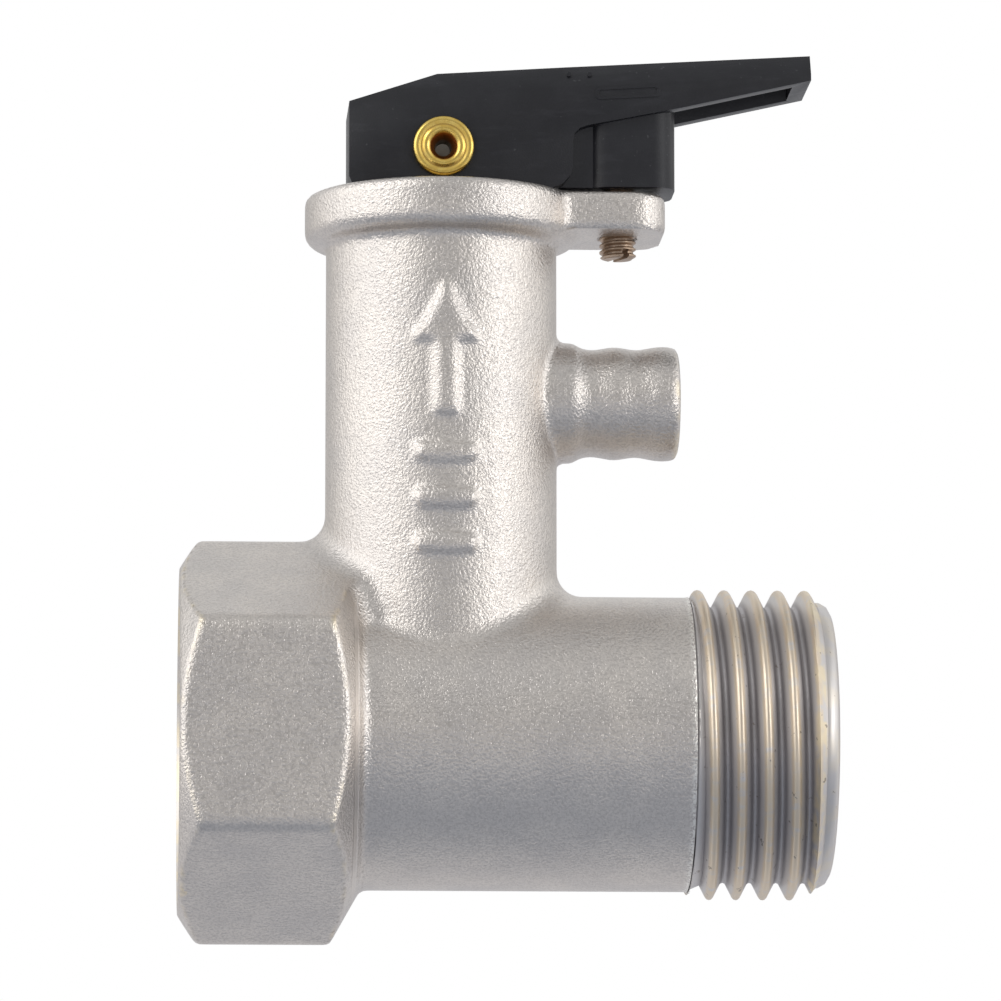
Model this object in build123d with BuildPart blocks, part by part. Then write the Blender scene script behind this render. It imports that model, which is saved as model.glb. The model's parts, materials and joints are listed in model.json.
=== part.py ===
"""Lever-operated pressure relief valve for a water heater, G1/2, with a built-in check valve.

Millimetres. X runs along the pipe, from the heater port's mouth at X = 0 to the supply port's mouth.
Z points up the tower that holds the relief valve. The origin is the centre of the heater port's mouth.
"""

from build123d import *
import os
from math import radians, sqrt, tan

# ---------- the run, from the heater port to the supply port ----------
run_length = 43.9
run_radius = 9.95
passage_radius = 6.0
hex_flats = 24.0  # across the flats
hex_corner_radius = 1.15
hex_mouth_radius = 11.7  # where the mouth's chamfer starts
hex_mouth_chamfer = 1.4
hex_length = 10.1  # to the start of the back chamfer, at a corner
hex_back_length = 2.2  # of the back chamfer, down to the run

# ---------- G1/2 pipe thread ----------
thread_major_radius = 20.955 / 2
thread_minor_radius = 18.631 / 2
thread_pitch = 1.814
thread_flank_deg = 27.5
female_first_crest = 0.62  # from the heater port's mouth
female_turns = 5
female_relief_length = 1.6  # plain room behind the last turn, down to the gasket's seat
mouth_radius = 10.95  # countersunk mouth of the heater port
male_length = 9.5  # thread and end rim together
male_first_crest = 0.55  # from the shoulder on the run
male_turns = 4
rim_radius = 9.65  # plain rim past the last turn
rim_step = 0.2  # from the last turn up to the rim
rim_chamfer = 0.7

# ---------- the tower ----------
tower_x = 17.7
tower_radius = 7.85
tower_top = 37.3
tower_blend = 1.7  # fillet where the tower meets the run and the hexagon
tower_wall = 1.75  # around the relief chamber
chamber_floor = 11.0
seat_height = 1.2  # of the lip above the chamber's floor
seat_radius = 2.6
seat_lip = 1.0  # radial width of the lip, at its foot
seat_land = 0.4  # and at its top
bush_bore_step = 0.55  # from the chamber out to the bush's thread
bush_bore_depth = 8.4  # from the tower's top
flange_overhang = 1.45  # past the tower's wall
flange_thickness = 3.3
flange_top_round = 0.5
flange_under_round = 0.85
flange_neck_round = 0.25

# ---------- the lug and its screw ----------
lug_overhang = 5.85  # past the flange
lug_width = 8.6
lug_thickness = 2.65
lug_corner_radius = 2.3
lug_neck_round = 1.0
screw_inset = 3.1  # from the lug's end
screw_radius = 1.25
screw_clearance = 0.05
screw_below = 1.4  # what stands out under the lug
screw_above = 1.0  # what stands up into the lever's foot
screw_pitch = 0.45
screw_half_ridge = 0.18  # half of a turn's width at its root
screw_half_land = 0.045  # and at its crest
screw_thread_depth = 0.14
screw_slot_width = 0.45
screw_slot_depth = 0.6
screw_slot_turn = 25  # degrees, where the driver left it
screw_end_plain = 0.35  # unthreaded, at either end

# ---------- the drain nozzle ----------
nozzle_z = 23.3
nozzle_length = 8.25  # from the tower's wall
nozzle_root_length = 1.05  # plain, before it narrows
nozzle_waist_length = 2.65  # from the tower's wall to the narrowest place
nozzle_ridge_step = 1.3  # from a waist to a ridge
nozzle_root_radius = 4.1
nozzle_waist_radius = 3.66
nozzle_ridge_radius = 3.85
nozzle_tip_taper = 0.15
nozzle_tip_round = 0.45
nozzle_bore_radius = 2.3

# ---------- raised marks on the tower ----------
mark_relief = 0.35
mark_width = 4.0
mark_bar = 0.95
mark_step = 3.1
mark_first_z = 12.6
mark_count = 3
arrow_gap = 0.4  # the arrow starts this far under the place of a next bar
arrow_head_z = 4.6  # from that place up to the arrow's head
arrow_tip_z = 8.2
arrow_shaft = 1.4

# ---------- relief valve inside the tower ----------
seal_gap = 0.03
slide_clearance = 0.1
disc_radius = 4.2
disc_thickness = 1.6
disc_pocket = 1.1
disc_clearance = 0.05
disc_washer_radius = 2.1
disc_washer_thickness = 0.4
disc_screw_radius = 0.8
disc_screw_head_radius = 1.6
disc_screw_head = 0.8
disc_screw_length = 3.6
holder_height = 5.0
holder_flute_depth = 0.9
holder_flute_radius = 2.4
holder_flutes = 3
stem_radius = 1.25
stem_fit = 0.05  # radial running clearance in the bush
stem_in_holder = 2.2
spring_wire_radius = 0.55
spring_mean_radius = 3.9
spring_turns = 5
spring_washer_room = 0.5  # from its edge to the chamber's wall
spring_washer_thickness = 0.6
spring_washer_clearance = 0.3
bush_length = 6.2
bush_lift = 1.03  # of the bush over the floor of its thread, where it is set
bush_thread_clearance = 0.05
bush_hex_flats = 5.0
bush_hex_depth = 2.0
bush_chamfer = 0.5
oring_section = 1.1
oring_groove_gap = 0.08
oring_fit = 0.03  # between a ring and what it seals on

# ---------- the lever ----------
pivot_height = 3.02  # above the flange
lever_width = 7.0
lever_wall = 1.2
lever_heel_gap = 0.15  # over the flange, at rest
lever_heel_round = 0.8
heel_reach = 6.4  # to the left of the pivot
heel_top = 6.1
brow_reach = 0.4
brow_top = 8.22
lever_shoulder_reach = 8.1
lever_shoulder_top = 8.75
tip_reach = 25.05
tip_top = 9.72
tip_bottom = 7.85
arm_root_reach = 9.3
arm_root_bottom = 4.5
arm_root_step = 0.2  # from the arm down to the cheek
arm_knee_reach = 16.1
arm_knee_bottom = 5.85
cheek_reach = 8.8
cheek_round = 0.9
lever_bevel_side = 0.9  # how far the long top bevel comes in
lever_bevel_drop = 1.45  # and how far it comes down
foot_neck_before = 2.2  # from the foot back to the neck's start
foot_neck_inset = 1.0  # from the lever's side
foot_before_screw = 2.25
foot_past_lug = 0.7
foot_inset = 0.5  # from the lever's side
foot_gap = 0.45  # over the lug, at rest
foot_corner_radius = 1.6
foot_socket_depth = 3.0
foot_socket_clearance = 0.35
eye_width = 4.6
eye_thickness = 3.0
eye_below = 2.5  # from the pivot down to the eye's foot
pivot_radius = 1.2
pivot_bore_radius = 0.8
pivot_bore_depth = 2.4  # from either end
pivot_fit = 0.05
pivot_head_radius = 2.08
pivot_head_thickness = 0.5
pivot_head_round = 0.22
pivot_head_gap = 0.02

# ---------- check valve in the supply port ----------
check_bore_radius = 7.5
check_bore_depth = 16.0
check_fit = 0.06
guide_ring_length = 7.6
guide_ring_wall = 0.9
guide_web = 1.2
guide_hub_radius = 2.1
guide_spokes = 3
guide_spoke_width = 1.4
check_seat_length = 4.6
check_seat_cover = 0.8  # how far the seal reaches over the seat
check_oring_section = 1.2
poppet_room = 1.24  # for the water, between the poppet and the guide's ring
poppet_thickness = 1.6
poppet_stem_radius = 1.1
poppet_stem_length = 8.0
poppet_stem_fit = 0.1
poppet_seal_inset = 0.1  # from the poppet's edge
poppet_seal_inner = 1.4
poppet_seal_thickness = 1.0
poppet_rest_gap = 0.05
check_spring_wire_radius = 0.25
check_spring_mean_radius = 2.7
check_spring_turns = 4
retainer_thickness = 0.9
retainer_gap = 0.1
retainer_section = 1.3
retainer_groove_depth = 0.6
retainer_opening_deg = 40

# ---------- places and sizes that follow from the sizes above ----------
chamber_radius = tower_radius - tower_wall
bush_bore_radius = chamber_radius + bush_bore_step
flange_radius = tower_radius + flange_overhang
lug_reach = flange_radius + lug_overhang  # these are from the tower's axis
screw_reach = lug_reach - screw_inset
foot_from = screw_reach - foot_before_screw
foot_to = lug_reach + foot_past_lug
foot_neck_from = foot_from - foot_neck_before
nozzle_reach = tower_radius + nozzle_length
nozzle_root_reach = tower_radius + nozzle_root_length
nozzle_waist_reach = tower_radius + nozzle_waist_length
pivot_z = tower_top + pivot_height
seat_z = chamber_floor + seat_height
disc_z = seat_z + seal_gap
holder_z = disc_z + disc_thickness - disc_pocket
holder_top = holder_z + holder_height
bush_z = tower_top - bush_bore_depth + bush_lift
spring_top = bush_z - spring_washer_thickness
spring_length = spring_top - holder_top
shoulder_x = run_length - male_length
check_bore_x = run_length - check_bore_depth
gasket_seat_x = female_first_crest + female_turns * thread_pitch + female_relief_length
poppet_seal_x = check_bore_x + guide_ring_length
thread_flank = (thread_major_radius - thread_minor_radius) * tan(radians(thread_flank_deg))
thread_land = thread_pitch / 2 - thread_flank
male_end_x = shoulder_x + male_first_crest + male_turns * thread_pitch + thread_land / 2 + thread_flank

os.makedirs("parts", exist_ok=True)


def save(piece, label):
    """Name a finished piece and write it to its own STEP file."""
    piece.part.label = label
    export_step(piece.part, f"parts/{label}.step")


def thread_rings(first_crest, turns, root_radius, crest_radius):
    """The half outline of annular thread turns along X: crests of the thread's true section."""
    outline = []
    for turn in range(turns + 1):
        middle = first_crest + turn * thread_pitch
        outline.append((middle - thread_land / 2 - thread_flank, root_radius))
        outline.append((middle - thread_land / 2, crest_radius))
        outline.append((middle + thread_land / 2, crest_radius))
        outline.append((middle + thread_land / 2 + thread_flank, root_radius))
    return outline


# The axes that turned shapes are revolved about.
tower_axis = Axis((tower_x, 0, 0), (0, 0, 1))
nozzle_axis = Axis((0, 0, nozzle_z), (1, 0, 0))
pivot_axis = Axis((tower_x, 0, pivot_z), (0, 1, 0))
screw_axis = Axis((tower_x + screw_reach, 0, 0), (0, 0, 1))


# ---------- valve body: one forging, machined at its ports ----------
# The hexagon on the heater port, with both ends turned to a cone.
hex_radius = hex_flats / sqrt(3)
with BuildPart() as hexagon:
    with BuildSketch(Plane.YZ):
        RegularPolygon(hex_radius, 6, rotation=30)
        fillet(vertices(), hex_corner_radius)
    extrude(amount=hex_length + hex_back_length)
    with BuildSketch(Plane.XZ):
        with BuildLine():
            Polyline(
                (0, 0),
                (0, hex_mouth_radius),
                (hex_mouth_chamfer, hex_radius),
                (hex_length, hex_radius),
                (hex_length + hex_back_length, run_radius),
                (hex_length + hex_back_length, 0),
                close=True,
            )
        make_face()
    revolve(axis=Axis.X, mode=Mode.INTERSECT)

# The flange and its lug, rounded the way a forging is.
with BuildPart() as head:
    with BuildSketch(Plane.XY.offset(tower_top - flange_thickness)):
        with Locations((tower_x, 0)):
            Circle(flange_radius)
    extrude(amount=flange_thickness)
    fillet(edges().group_by(Axis.Z)[0], flange_under_round)
    with BuildSketch(Plane.XY.offset(tower_top - lug_thickness)):
        with Locations((tower_x + lug_reach / 2, 0)):
            Rectangle(lug_reach, lug_width)
        fillet(vertices().group_by(Axis.X)[-1], lug_corner_radius)
    extrude(amount=lug_thickness)
    neck = edges().filter_by(Axis.Z).group_by(Axis.X)[0]
    fillet(neck, lug_neck_round)
    fillet(edges().group_by(Axis.Z)[-1], flange_top_round)

# The nozzle, with a soft ridge that holds a drain hose.
with BuildPart() as nozzle:
    start_x = tower_x + (chamber_radius + tower_radius) / 2
    waist_x = tower_x + nozzle_waist_reach
    end_x = tower_x + nozzle_reach
    root_top = nozzle_z + nozzle_root_radius
    waist_top = nozzle_z + nozzle_waist_radius
    ridge_top = nozzle_z + nozzle_ridge_radius
    tip_top_z = ridge_top - nozzle_tip_taper
    with BuildSketch(Plane.XZ):
        with BuildLine():
            Line((start_x, nozzle_z), (start_x, root_top))
            Line((start_x, root_top), (tower_x + nozzle_root_reach, root_top))
            Spline(
                (tower_x + nozzle_root_reach, root_top),
                (waist_x, waist_top),
                (waist_x + nozzle_ridge_step, ridge_top),
                (waist_x + 2 * nozzle_ridge_step, waist_top),
                (waist_x + 3 * nozzle_ridge_step, ridge_top),
                (end_x, tip_top_z),
            )
            Line((end_x, tip_top_z), (end_x, nozzle_z))
            Line((end_x, nozzle_z), (start_x, nozzle_z))
        make_face()
    revolve(axis=nozzle_axis)
    fillet(edges().group_by(Axis.X)[-1], nozzle_tip_round)

# Raised marks: an arrow for the way the water drains, over a row of bars.
with BuildPart() as marks:
    with BuildSketch(Plane.XZ.offset(chamber_radius)):
        for i in range(mark_count):
            with Locations((tower_x, mark_first_z + i * mark_step)):
                SlotOverall(mark_width, mark_bar)
        arrow_z = mark_first_z + mark_count * mark_step
        with BuildLine():
            Polyline(
                (tower_x - mark_width / 2, arrow_z + arrow_head_z),
                (tower_x, arrow_z + arrow_tip_z),
                (tower_x + mark_width / 2, arrow_z + arrow_head_z),
                (tower_x + arrow_shaft / 2, arrow_z + arrow_head_z),
                (tower_x + arrow_shaft / 2, arrow_z - arrow_gap),
                (tower_x - arrow_shaft / 2, arrow_z - arrow_gap),
                (tower_x - arrow_shaft / 2, arrow_z + arrow_head_z),
                close=True,
            )
        make_face()
    extrude(amount=flange_radius - chamber_radius)
    with BuildSketch():
        with Locations((tower_x, 0)):
            Circle(tower_radius + mark_relief)
    extrude(amount=tower_top, mode=Mode.INTERSECT)

with BuildPart() as valve_body:
    # the run, from the hexagon to the shoulder that the thread starts at
    with BuildSketch(Plane.YZ.offset(hex_length)):
        Circle(run_radius)
    extrude(amount=shoulder_x - hex_length)
    # the tower stands on the run
    with BuildSketch(Plane.XY):
        with Locations((tower_x, 0)):
            Circle(tower_radius)
    extrude(amount=tower_top - flange_thickness / 2)
    add(hexagon.part)
    tower_wall = faces().filter_by(GeomType.CYLINDER)
    tower_wall = tower_wall.filter_by(lambda f: abs(f.radius - tower_radius) < 1e-6)
    root_edges = tower_wall.edges().filter_by(lambda e: e.center().Z < tower_top / 2)
    fillet(root_edges.filter_by(lambda e: e.geom_type != GeomType.LINE), tower_blend)
    add(head.part)
    neck_edge = edges().filter_by(GeomType.CIRCLE).filter_by(
        lambda e: abs(e.radius - tower_radius) < 1e-6
        and abs(e.center().Z - (tower_top - flange_thickness)) < 1e-6
    )
    fillet(neck_edge, flange_neck_round)
    add(nozzle.part)
    add(marks.part)
    # the male thread, with a plain rim at its end
    with BuildSketch(Plane.XZ):
        with BuildLine():
            Polyline(
                (shoulder_x - thread_pitch, 0),
                (shoulder_x - thread_pitch, thread_minor_radius),
                *thread_rings(
                    shoulder_x + male_first_crest, male_turns, thread_minor_radius, thread_major_radius
                ),
                (male_end_x + rim_step, rim_radius),
                (run_length - rim_chamfer, rim_radius),
                (run_length, rim_radius - rim_chamfer),
                (run_length, 0),
                close=True,
            )
        make_face()
    revolve(axis=Axis.X)
    # the way through, with the female thread and the check valve's bore
    with BuildSketch(Plane.XZ):
        with BuildLine():
            Polyline(
                (0, 0),
                (0, mouth_radius),
                *thread_rings(
                    female_first_crest, female_turns, thread_major_radius, thread_minor_radius
                )[1:],
                (gasket_seat_x, thread_major_radius),
                (gasket_seat_x, passage_radius),
                (check_bore_x, passage_radius),
                (check_bore_x, check_bore_radius),
                (run_length, check_bore_radius),
                (run_length, 0),
                close=True,
            )
        make_face()
    revolve(axis=Axis.X, mode=Mode.SUBTRACT)
    # the relief chamber, with a lip for the seal to sit on
    with BuildSketch(Plane.XZ):
        with BuildLine():
            Polyline(
                (tower_x, 0),
                (tower_x + seat_radius, 0),
                (tower_x + seat_radius, seat_z),
                (tower_x + seat_radius + seat_land, seat_z),
                (tower_x + seat_radius + seat_lip, chamber_floor),
                (tower_x + chamber_radius, chamber_floor),
                (tower_x + chamber_radius, tower_top - bush_bore_depth),
                (tower_x + bush_bore_radius, tower_top - bush_bore_depth),
                (tower_x + bush_bore_radius, tower_top),
                (tower_x, tower_top),
                close=True,
            )
        make_face()
    revolve(axis=tower_axis, mode=Mode.SUBTRACT)
    # the drain, from the chamber out through the nozzle
    with BuildSketch(Plane.YZ.offset(tower_x)):
        with Locations((0, nozzle_z)):
            Circle(nozzle_bore_radius)
    extrude(amount=nozzle_reach, mode=Mode.SUBTRACT)
    # the lug's hole
    with BuildSketch(Plane.XY.offset(tower_top - lug_thickness)):
        with Locations((tower_x + screw_reach, 0)):
            Circle(screw_radius + screw_clearance)
    extrude(amount=lug_thickness, mode=Mode.SUBTRACT)
    # the groove for the check valve's retaining ring
    retainer_x = poppet_seal_x + check_seat_length + retainer_gap
    with BuildSketch(Plane.YZ.offset(retainer_x)):
        Circle(check_bore_radius + retainer_groove_depth)
    extrude(amount=retainer_thickness + retainer_gap, mode=Mode.SUBTRACT)
save(valve_body, "valve_body")


# ---------- relief valve: what the lever lifts off the seat ----------
with BuildPart() as seat_disc:
    with BuildSketch(Plane.XY.offset(disc_z)):
        with Locations((tower_x, 0)):
            Circle(disc_radius)
            Circle(disc_screw_radius + disc_clearance, mode=Mode.SUBTRACT)
    extrude(amount=disc_thickness)
save(seat_disc, "seat_disc")

with BuildPart() as disc_washer:
    with BuildSketch(Plane.XY.offset(disc_z - disc_washer_thickness)):
        with Locations((tower_x, 0)):
            Circle(disc_washer_radius)
            Circle(disc_screw_radius + disc_clearance, mode=Mode.SUBTRACT)
    extrude(amount=disc_washer_thickness)
save(disc_washer, "disc_washer")

disc_screw_z = disc_z - disc_washer_thickness
with BuildPart() as disc_screw:
    with BuildSketch(Plane.XY.offset(disc_screw_z - disc_screw_head)):
        with Locations((tower_x, 0)):
            Circle(disc_screw_head_radius)
    extrude(amount=disc_screw_head)
    with BuildSketch(Plane.XY.offset(disc_screw_z)):
        with Locations((tower_x, 0)):
            Circle(disc_screw_radius)
    extrude(amount=disc_screw_length)
    with BuildSketch(Plane.XY.offset(disc_screw_z - disc_screw_head)):
        with Locations((tower_x, 0)):
            Rectangle(2 * disc_screw_head_radius, disc_screw_head / 2)
    extrude(amount=disc_screw_head / 2, mode=Mode.SUBTRACT)
save(disc_screw, "disc_screw")

# The holder slides in the chamber. Its flutes let the water past to the nozzle.
holder_radius = chamber_radius - slide_clearance
with BuildPart() as disc_holder:
    with BuildSketch(Plane.XY.offset(holder_z)):
        with Locations((tower_x, 0)):
            Circle(holder_radius)
            with PolarLocations(holder_radius + holder_flute_radius - holder_flute_depth, holder_flutes):
                Circle(holder_flute_radius, mode=Mode.SUBTRACT)
    extrude(amount=holder_height)
    with BuildSketch(Plane.XY.offset(holder_z)):
        with Locations((tower_x, 0)):
            Circle(disc_radius + disc_clearance)
    extrude(amount=disc_pocket, mode=Mode.SUBTRACT)
    with BuildSketch(Plane.XY.offset(holder_z + disc_pocket)):
        with Locations((tower_x, 0)):
            Circle(disc_screw_radius + disc_clearance)
    extrude(amount=holder_height, mode=Mode.SUBTRACT)
    with BuildSketch(Plane.XY.offset(holder_top - stem_in_holder)):
        with Locations((tower_x, 0)):
            Circle(stem_radius + disc_clearance)
    extrude(amount=stem_in_holder, mode=Mode.SUBTRACT)
save(disc_holder, "disc_holder")

# The stem ends in an eye for the lever's pivot.
with BuildPart() as stem:
    with BuildSketch(Plane.XY.offset(holder_top - stem_in_holder)):
        with Locations((tower_x, 0)):
            Circle(stem_radius)
    extrude(amount=pivot_z - eye_below / 2 - (holder_top - stem_in_holder))
    with BuildSketch(Plane.XZ):
        with Locations((tower_x, pivot_z)):
            Circle(eye_width / 2)
        with Locations((tower_x, pivot_z - eye_below / 2)):
            Rectangle(eye_width, eye_below)
    extrude(amount=eye_thickness / 2, both=True)
    with BuildSketch(Plane.XZ):
        with Locations((tower_x, pivot_z)):
            Circle(pivot_radius + pivot_fit)
    extrude(amount=eye_thickness, both=True, mode=Mode.SUBTRACT)
save(stem, "stem")

with BuildPart() as relief_spring:
    with BuildLine() as relief_coil:
        coil_height = spring_length - 2 * spring_wire_radius
        Helix(
            coil_height / spring_turns,
            coil_height,
            spring_mean_radius,
            center=(tower_x, 0, holder_top + spring_wire_radius),
        )
    with BuildSketch(Plane(relief_coil.line @ 0, z_dir=relief_coil.line % 0)):
        Circle(spring_wire_radius)
    sweep(is_frenet=True)
save(relief_spring, "relief_spring")

with BuildPart() as spring_washer:
    with BuildSketch(Plane.XY.offset(spring_top)):
        with Locations((tower_x, 0)):
            Circle(chamber_radius - spring_washer_room)
            Circle(stem_radius + spring_washer_clearance, mode=Mode.SUBTRACT)
    extrude(amount=spring_washer_thickness)
save(spring_washer, "spring_washer")

# The bush screws down on the spring and sets the pressure that the valve opens at.
bush_radius = bush_bore_radius - bush_thread_clearance
oring_mean_radius = stem_radius + oring_section / 2 + oring_fit
oring_z = bush_z + (bush_length - bush_hex_depth) / 2
with BuildPart() as adjusting_bush:
    with BuildSketch(Plane.XY.offset(bush_z)):
        with Locations((tower_x, 0)):
            Circle(bush_radius)
            Circle(stem_radius + stem_fit, mode=Mode.SUBTRACT)
    extrude(amount=bush_length)
    chamfer(edges().group_by(Axis.Z)[-1].sort_by(SortBy.RADIUS)[-1], bush_chamfer)
    with BuildSketch(Plane.XY.offset(bush_z + bush_length - bush_hex_depth)):
        with Locations((tower_x, 0)):
            RegularPolygon(bush_hex_flats / sqrt(3), 6)
    extrude(amount=bush_hex_depth, mode=Mode.SUBTRACT)
    with BuildSketch(Plane.XY.offset(oring_z - oring_section / 2 - oring_groove_gap)):
        with Locations((tower_x, 0)):
            Circle(oring_mean_radius + oring_section / 2 + oring_groove_gap)
    extrude(amount=oring_section + 2 * oring_groove_gap, mode=Mode.SUBTRACT)
save(adjusting_bush, "adjusting_bush")

with BuildPart() as stem_o_ring:
    with BuildSketch(Plane.XZ):
        with Locations((tower_x + oring_mean_radius, oring_z)):
            Circle(oring_section / 2)
    revolve(axis=tower_axis)
save(stem_o_ring, "stem_o_ring")


# ---------- the lever and its pivot ----------
def beside(reach, height):
    """A point of the lever's side outline, from the pivot's axis and the flange's top."""
    return (tower_x + reach, tower_top + height)


with BuildPart() as lever:
    with BuildSketch(Plane.XZ.offset(-lever_width / 2)):
        with BuildLine():
            Polyline(
                beside(-heel_reach, lever_heel_gap),
                beside(-heel_reach, heel_top),
                beside(-brow_reach, brow_top),
                beside(lever_shoulder_reach, lever_shoulder_top),
                beside(tip_reach, tip_top),
                beside(tip_reach, tip_bottom),
                beside(arm_knee_reach, arm_knee_bottom),
                beside(arm_root_reach, arm_root_bottom),
                beside(cheek_reach, arm_root_bottom - arm_root_step),
                beside(cheek_reach, lever_heel_gap),
                close=True,
            )
        make_face()
    extrude(amount=lever_width)
    # the long bevels beside the top: the three highest long edges of each side
    for side in (0, -1):
        side_face = faces().filter_by(Axis.Y).sort_by(Axis.Y)[side]
        brow = side_face.edges().filter_by(lambda e: e.length > lever_wall * 4).sort_by(Axis.Z)[-3:]
        chamfer(brow, lever_bevel_drop, lever_bevel_side, reference=side_face)
    upright = edges().filter_by(Axis.Y)
    fillet(upright.group_by(Axis.X)[0].group_by(Axis.Z)[0], lever_heel_round)
    fillet(edges().filter_by(Axis.Y).group_by(Axis.Z)[0].sort_by(Axis.X)[-1], cheek_round)
    # the inside, open below
    with BuildSketch(Plane.XZ.offset(-lever_width / 2 + lever_wall)):
        with BuildLine():
            Polyline(
                beside(-heel_reach + lever_wall, 0),
                beside(-heel_reach + lever_wall, heel_top - lever_wall),
                beside(-brow_reach, brow_top - lever_wall),
                beside(lever_shoulder_reach, lever_shoulder_top - lever_wall),
                beside(tip_reach - lever_wall, tip_top - lever_wall),
                beside(tip_reach - lever_wall, 0),
                close=True,
            )
        make_face()
    extrude(amount=lever_width - 2 * lever_wall, mode=Mode.SUBTRACT)
    # the foot that stands over the lug, and its neck to the cheeks
    foot_top = tower_top + lever_shoulder_top - lever_wall / 2
    foot_z = tower_top + foot_gap
    with BuildSketch(Plane.XY.offset(foot_z)):
        with Locations((tower_x + (foot_neck_from + foot_to - foot_corner_radius) / 2, 0)):
            Rectangle(foot_to - foot_corner_radius - foot_neck_from, lever_width - 2 * foot_neck_inset)
        with Locations((tower_x + (foot_from + foot_to) / 2, 0)):
            RectangleRounded(foot_to - foot_from, lever_width - 2 * foot_inset, foot_corner_radius)
    extrude(amount=foot_top - foot_z)
    # the socket over the lock screw
    with BuildSketch(Plane.XY.offset(foot_z)):
        with Locations((tower_x + screw_reach, 0)):
            Circle(screw_radius + foot_socket_clearance)
    extrude(amount=foot_socket_depth, mode=Mode.SUBTRACT)
    # the pivot's hole through both cheeks
    with BuildSketch(Plane.XZ):
        with Locations((tower_x, pivot_z)):
            Circle(pivot_radius + pivot_fit)
    extrude(amount=lever_width, both=True, mode=Mode.SUBTRACT)
save(lever, "lever")

# A tubular rivet, rolled over at both ends.
with BuildPart() as pivot_rivet:
    rivet_reach = lever_width / 2 + pivot_head_gap
    with BuildSketch(Plane.YZ.offset(tower_x)):
        with Locations((0, pivot_z + (pivot_bore_radius + pivot_radius) / 2)):
            Rectangle(2 * rivet_reach + pivot_head_thickness, pivot_radius - pivot_bore_radius)
        with Locations((0, pivot_z + pivot_radius / 2)):
            Rectangle(2 * (rivet_reach + pivot_head_thickness - pivot_bore_depth), pivot_radius)
        for side in (1, -1):
            middle = (
                side * (rivet_reach + pivot_head_thickness / 2),
                pivot_z + (pivot_bore_radius + pivot_head_radius) / 2,
            )
            with Locations(middle):
                Rectangle(pivot_head_thickness, pivot_head_radius - pivot_bore_radius)
        outer = vertices().filter_by(lambda v: abs(v.X) > rivet_reach + pivot_head_thickness / 2)
        fillet(outer, pivot_head_round)
    revolve(axis=pivot_axis)
save(pivot_rivet, "pivot_rivet")

# ---------- the lock screw, driven from under the lug ----------
screw_z = tower_top - lug_thickness - screw_below
screw_top = tower_top + screw_above
with BuildPart() as lock_screw:
    screw_x = tower_x + screw_reach
    screw_root = screw_radius - screw_thread_depth
    turns = int((screw_top - screw_z - screw_end_plain) / screw_pitch)
    with BuildSketch(Plane.XZ):
        with BuildLine():
            outline = [(screw_x, screw_z), (screw_x + screw_root, screw_z)]
            for turn in range(turns):
                crest_z = screw_z + screw_end_plain + turn * screw_pitch
                outline.append((screw_x + screw_root, crest_z - screw_half_ridge))
                outline.append((screw_x + screw_radius, crest_z - screw_half_land))
                outline.append((screw_x + screw_radius, crest_z + screw_half_land))
                outline.append((screw_x + screw_root, crest_z + screw_half_ridge))
            outline.append((screw_x + screw_root, screw_top))
            outline.append((screw_x, screw_top))
            Polyline(*outline, close=True)
        make_face()
    revolve(axis=screw_axis)
    with BuildSketch(Plane.XY.offset(screw_z)):
        with Locations((screw_x, 0)):
            Rectangle(screw_slot_width, 3 * screw_radius, rotation=screw_slot_turn)
    extrude(amount=screw_slot_depth, mode=Mode.SUBTRACT)
save(lock_screw, "lock_screw")

# ---------- check valve: it lets water in from the supply and not back ----------
insert_radius = check_bore_radius - check_fit
poppet_radius = insert_radius - guide_ring_wall - poppet_room
poppet_seal_outer = poppet_radius - poppet_seal_inset
check_seat_radius = poppet_seal_outer - check_seat_cover
web_x = check_bore_x + guide_web
with BuildPart() as check_guide:
    with BuildSketch(Plane.YZ.offset(check_bore_x)):
        Circle(insert_radius)
        Circle(insert_radius - guide_ring_wall, mode=Mode.SUBTRACT)
    extrude(amount=guide_ring_length)
    with BuildSketch(Plane.YZ.offset(check_bore_x)):
        Circle(guide_hub_radius)
        with PolarLocations(0, guide_spokes, start_angle=90):
            with Locations((insert_radius / 2 - guide_ring_wall / 4, 0)):
                Rectangle(insert_radius - guide_ring_wall / 2, guide_spoke_width)
        Circle(poppet_stem_radius + poppet_stem_fit, mode=Mode.SUBTRACT)
    extrude(amount=guide_web)
save(check_guide, "check_guide")

check_oring_mean = check_bore_radius - check_oring_section / 2 - oring_fit
check_oring_x = poppet_seal_x + check_seat_length / 2
with BuildPart() as check_seat:
    with BuildSketch(Plane.YZ.offset(poppet_seal_x)):
        Circle(insert_radius)
        Circle(check_seat_radius, mode=Mode.SUBTRACT)
    extrude(amount=check_seat_length)
    with BuildSketch(Plane.YZ.offset(check_oring_x - check_oring_section / 2 - oring_groove_gap)):
        Circle(insert_radius)
        Circle(check_oring_mean - check_oring_section / 2 - oring_groove_gap, mode=Mode.SUBTRACT)
    extrude(amount=check_oring_section + 2 * oring_groove_gap, mode=Mode.SUBTRACT)
save(check_seat, "check_seat")

with BuildPart() as check_o_ring:
    with BuildSketch(Plane.XZ):
        with Locations((check_oring_x, check_oring_mean)):
            Circle(check_oring_section / 2)
    revolve(axis=Axis.X)
save(check_o_ring, "check_o_ring")

seal_x = poppet_seal_x - poppet_rest_gap - poppet_seal_thickness
poppet_x = seal_x - poppet_thickness
with BuildPart() as check_poppet:
    with BuildSketch(Plane.YZ.offset(poppet_x)):
        Circle(poppet_radius)
    extrude(amount=poppet_thickness)
    with BuildSketch(Plane.YZ.offset(seal_x)):
        Circle(poppet_seal_inner - disc_clearance)
    extrude(amount=poppet_seal_thickness)
    with BuildSketch(Plane.YZ.offset(poppet_x - poppet_stem_length)):
        Circle(poppet_stem_radius)
    extrude(amount=poppet_stem_length)
save(check_poppet, "check_poppet")

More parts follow.
